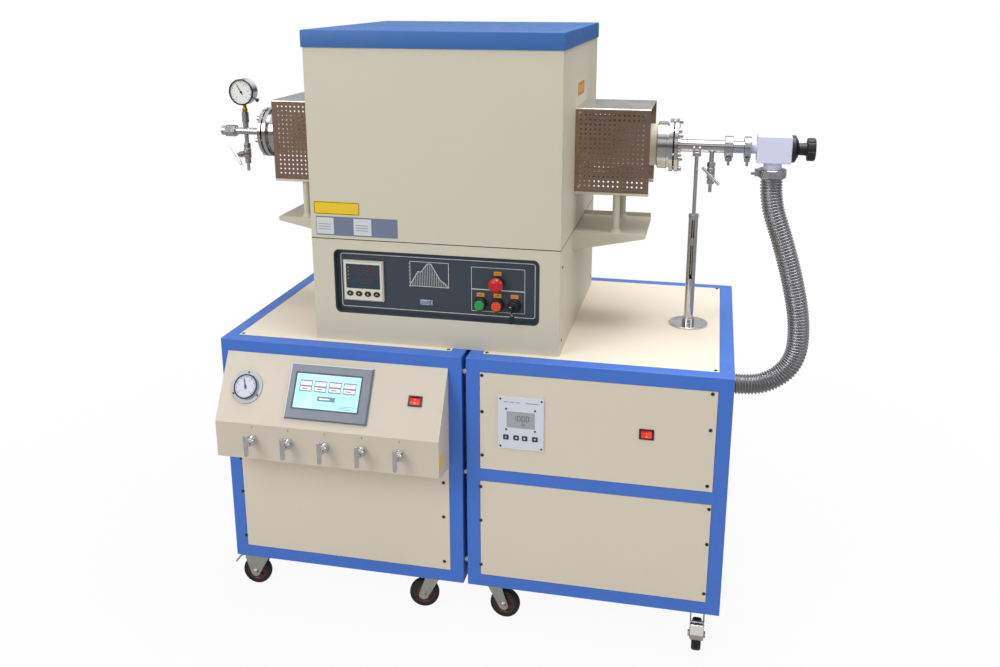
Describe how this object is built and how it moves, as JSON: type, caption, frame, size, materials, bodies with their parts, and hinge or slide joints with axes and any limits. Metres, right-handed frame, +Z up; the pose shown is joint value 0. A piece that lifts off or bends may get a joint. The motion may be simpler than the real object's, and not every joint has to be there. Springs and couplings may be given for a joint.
{
  "type": "tube furnace",
  "caption": "High-temperature tube furnace on a castered gas-supply cabinet and vacuum cabinet, with guards, end flanges, valves, gauges and a bellows hose.",
  "frame": {"origin": "on the floor, at the middle of the whole outline without the hose", "axes": "+X to the right along the work tube, +Y to the back, +Z up; the control panels face -Y"},
  "size_m": [1.5301, 0.826, 1.426],
  "materials": {
    "beige_panel": "satin",
    "black_plastic": "satin",
    "blue_frame": "satin",
    "ceramic": "matte",
    "chrome": "polished",
    "console_paint": "satin",
    "cream_plastic": "matte",
    "element": "matte",
    "fibre": "matte",
    "furnace_paint": "satin",
    "green_plastic": "gloss",
    "grey_plastic": "gloss",
    "orange_plastic": "gloss",
    "pump_paint": "satin",
    "red_plastic": "gloss",
    "slate_panel": "satin",
    "steel": "brushed",
    "tyre": "matte",
    "valve_metal": "satin",
    "zinc": "satin"
  },
  "bodies": {
    "station": {"angle_valve_body": "valve_metal", "bellows_hose": "steel", "caster_brackets": "zinc", "control_panel": "slate_panel", "furnace_base": "furnace_paint", "furnace_body": "furnace_paint", "furnace_insulation": "fibre", "furnace_top_cover": "blue_frame", "gas_cabinet_frame": "blue_frame", "gas_cabinet_panels": "beige_panel", "gas_console": "console_paint", "gas_inlet_line": "chrome", "gas_mixing_tank": "steel", "gas_valve_bodies": "chrome", "guard_trays": "furnace_paint", "heating_elements": "element", "kf_fittings": "chrome", "left_tube_guard": "steel", "panel_fittings": "black_plastic", "pressure_gauges": "black_plastic", "right_tube_guard": "steel", "stand_tube": "steel", "temperature_controller": "cream_plastic", "touch_screen": "grey_plastic", "tube_flanges": "steel", "vacuum_cabinet_frame": "blue_frame", "vacuum_cabinet_panels": "beige_panel", "vacuum_gauge_unit": "cream_plastic", "vacuum_line": "chrome", "vacuum_pump": "pump_paint", "work_tube": "ceramic"},
    "gas_left_fork": {"gas_left_caster_fork": "zinc"},
    "gas_left_wheel": {"gas_left_front_wheel": "tyre"},
    "gas_left_pedal": {"gas_left_brake_pedal": "zinc"},
    "gas_left_back_wheel": {"gas_left_rear_wheel": "tyre"},
    "gas_right_fork": {"gas_right_caster_fork": "zinc"},
    "gas_right_wheel": {"gas_right_front_wheel": "tyre"},
    "gas_right_back_wheel": {"gas_right_rear_wheel": "tyre"},
    "vacuum_left_fork": {"vacuum_left_caster_fork": "zinc"},
    "vacuum_left_wheel": {"vacuum_left_front_wheel": "tyre"},
    "vacuum_left_back_wheel": {"vacuum_left_rear_wheel": "tyre"},
    "vacuum_right_fork": {"vacuum_right_caster_fork": "zinc"},
    "vacuum_right_wheel": {"vacuum_right_front_wheel": "tyre"},
    "vacuum_right_pedal": {"vacuum_right_brake_pedal": "zinc"},
    "vacuum_right_back_wheel": {"vacuum_right_rear_wheel": "tyre"},
    "gas_handle_1": {"gas_valve_handle_1": "chrome"},
    "gas_handle_2": {"gas_valve_handle_2": "chrome"},
    "gas_handle_3": {"gas_valve_handle_3": "chrome"},
    "gas_handle_4": {"gas_valve_handle_4": "chrome"},
    "gas_handle_5": {"gas_valve_handle_5": "chrome"},
    "start_button": {"start_button": "green_plastic"},
    "stop_button": {"stop_button": "orange_plastic"},
    "emergency_stop": {"emergency_stop": "red_plastic"},
    "key_switch": {"key_switch": "black_plastic"},
    "gas_power_rocker": {"gas_power_rocker": "red_plastic"},
    "vacuum_power_rocker": {"vacuum_power_rocker": "red_plastic"},
    "inlet_valve_handle": {"inlet_valve_handle": "chrome"},
    "vent_valve_handle": {"vent_valve_handle": "chrome"},
    "angle_valve_knob": {"angle_valve_knob": "black_plastic"},
    "support_rod": {"support_rod": "steel"}
  },
  "joints": [
    {"name": "gas_left_swivel", "type": "hinge", "parent": "station", "child": "gas_left_fork", "pos_m": [-0.5615, -0.232, 0.1], "axis": [0, 0, 1], "continuous": true},
    {"name": "gas_left_wheel_spin", "type": "hinge", "parent": "gas_left_fork", "child": "gas_left_wheel", "pos_m": [-0.5895, -0.232, 0.0375], "axis": [0, -1, 0], "continuous": true},
    {"name": "gas_left_brake", "type": "hinge", "parent": "gas_left_fork", "child": "gas_left_pedal", "pos_m": [-0.6095, -0.232, 0.08], "axis": [0, -1, 0], "range_deg": [0, 22]},
    {"name": "gas_left_rear_wheel_spin", "type": "hinge", "parent": "station", "child": "gas_left_back_wheel", "pos_m": [-0.5615, 0.325, 0.0375], "axis": [1, 0, 0], "continuous": true},
    {"name": "gas_right_swivel", "type": "hinge", "parent": "station", "child": "gas_right_fork", "pos_m": [-0.1045, -0.232, 0.1], "axis": [0, 0, 1], "continuous": true},
    {"name": "gas_right_wheel_spin", "type": "hinge", "parent": "gas_right_fork", "child": "gas_right_wheel", "pos_m": [-0.13229, -0.23541, 0.0375], "axis": [0.1219, -0.9925, 0], "continuous": true},
    {"name": "gas_right_rear_wheel_spin", "type": "hinge", "parent": "station", "child": "gas_right_back_wheel", "pos_m": [-0.1045, 0.325, 0.0375], "axis": [1, 0, 0], "continuous": true},
    {"name": "vacuum_left_swivel", "type": "hinge", "parent": "station", "child": "vacuum_left_fork", "pos_m": [0.0485, -0.232, 0.1], "axis": [0, 0, 1], "continuous": true},
    {"name": "vacuum_left_wheel_spin", "type": "hinge", "parent": "vacuum_left_fork", "child": "vacuum_left_wheel", "pos_m": [0.07635, -0.23493, 0.0375], "axis": [0.1045, 0.9945, 0], "continuous": true},
    {"name": "vacuum_left_rear_wheel_spin", "type": "hinge", "parent": "station", "child": "vacuum_left_back_wheel", "pos_m": [0.0485, 0.325, 0.0375], "axis": [1, 0, 0], "continuous": true},
    {"name": "vacuum_right_swivel", "type": "hinge", "parent": "station", "child": "vacuum_right_fork", "pos_m": [0.5445, -0.232, 0.1], "axis": [0, 0, 1], "continuous": true},
    {"name": "vacuum_right_wheel_spin", "type": "hinge", "parent": "vacuum_right_fork", "child": "vacuum_right_wheel", "pos_m": [0.5445, -0.26, 0.0375], "axis": [1, 0, 0], "continuous": true},
    {"name": "vacuum_right_brake", "type": "hinge", "parent": "vacuum_right_fork", "child": "vacuum_right_pedal", "pos_m": [0.5445, -0.28, 0.08], "axis": [1, 0, 0], "range_deg": [0, 22]},
    {"name": "vacuum_right_rear_wheel_spin", "type": "hinge", "parent": "station", "child": "vacuum_right_back_wheel", "pos_m": [0.5445, 0.325, 0.0375], "axis": [1, 0, 0], "continuous": true},
    {"name": "gas_valve_1_turn", "type": "hinge", "parent": "station", "child": "gas_handle_1", "pos_m": [-0.5046, -0.395, 0.486], "axis": [0, -1, 0], "range_deg": [0, 90]},
    {"name": "gas_valve_2_turn", "type": "hinge", "parent": "station", "child": "gas_handle_2", "pos_m": [-0.4138, -0.395, 0.486], "axis": [0, -1, 0], "range_deg": [0, 90]},
    {"name": "gas_valve_3_turn", "type": "hinge", "parent": "station", "child": "gas_handle_3", "pos_m": [-0.323, -0.395, 0.486], "axis": [0, -1, 0], "range_deg": [0, 90]},
    {"name": "gas_valve_4_turn", "type": "hinge", "parent": "station", "child": "gas_handle_4", "pos_m": [-0.2322, -0.395, 0.486], "axis": [0, -1, 0], "range_deg": [0, 90]},
    {"name": "gas_valve_5_turn", "type": "hinge", "parent": "station", "child": "gas_handle_5", "pos_m": [-0.1414, -0.395, 0.486], "axis": [0, -1, 0], "range_deg": [0, 90]},
    {"name": "start_button_push", "type": "slide", "parent": "station", "child": "start_button", "axis": [0, 1, 0], "range_m": [0, 0.004], "stiffness_N_per_m": 300, "springref_m": -0.002},
    {"name": "stop_button_push", "type": "slide", "parent": "station", "child": "stop_button", "axis": [0, 1, 0], "range_m": [0, 0.004], "stiffness_N_per_m": 300, "springref_m": -0.002},
    {"name": "emergency_stop_push", "type": "slide", "parent": "station", "child": "emergency_stop", "axis": [0, 1, 0], "range_m": [0, 0.005]},
    {"name": "key_turn", "type": "hinge", "parent": "station", "child": "key_switch", "pos_m": [0.0945, -0.228, 0.811], "axis": [0, -1, 0], "range_deg": [0, 90]},
    {"name": "gas_power_rock", "type": "hinge", "parent": "station", "child": "gas_power_rocker", "pos_m": [-0.1155, -0.32783, 0.59886], "axis": [-1, 0, 0], "range_deg": [0, 16]},
    {"name": "vacuum_power_rock", "type": "hinge", "parent": "station", "child": "vacuum_power_rocker", "pos_m": [0.4095, -0.285, 0.551], "axis": [-1, 0, 0], "range_deg": [0, 16]},
    {"name": "inlet_valve_turn", "type": "hinge", "parent": "station", "child": "inlet_valve_handle", "pos_m": [-0.69676, 0.02981, 1.091], "axis": [-0.342, -0.9397, 0], "range_deg": [0, 810]},
    {"name": "vent_valve_turn", "type": "hinge", "parent": "station", "child": "vent_valve_handle", "pos_m": [0.5175, 0.028, 1.085], "axis": [0, -1, 0], "range_deg": [0, 810]},
    {"name": "angle_valve_turn", "type": "hinge", "parent": "station", "child": "angle_valve_knob", "pos_m": [0.7155, 0.058, 1.15], "axis": [1, 0, 0], "range_deg": [0, 720]},
    {"name": "support_rod_lower", "type": "slide", "parent": "station", "child": "support_rod", "axis": [0, 0, -1], "range_m": [0, 0.14]}
  ]
}
